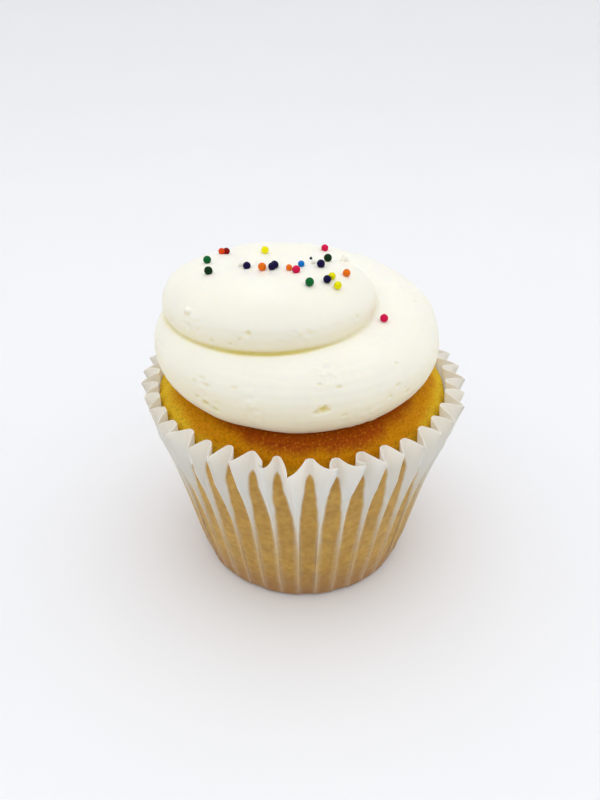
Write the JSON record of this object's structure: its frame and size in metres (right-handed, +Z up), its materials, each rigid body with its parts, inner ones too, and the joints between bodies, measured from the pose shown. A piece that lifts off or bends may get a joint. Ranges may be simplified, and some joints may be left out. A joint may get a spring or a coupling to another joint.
{
  "type": "cupcake",
  "caption": "Vanilla cupcake in a fluted white paper case, with a thick rope of white buttercream piped in a climbing swirl and coloured sugar pearls on top.",
  "frame": {"origin": "middle of the paper case's flat base, on the surface it stands on", "axes": "+Z up; -Y is the front, +X is to the right seen from the front"},
  "size_m": [0.0742, 0.074, 0.0757],
  "materials": {
    "greaseproof_paper": "thin white greaseproof paper, golden where the cake shows through it",
    "golden_sponge": "baked vanilla sponge, matte, with fine crumb",
    "vanilla_buttercream": "whipped buttercream, smooth with a soft sheen",
    "sugar_pearls": "hard coloured sugar, in several colours"
  },
  "bodies": {
    "root": {"paper_case": "greaseproof_paper", "sponge": "golden_sponge", "buttercream": "vanilla_buttercream"}
  },
  "joints": []
}
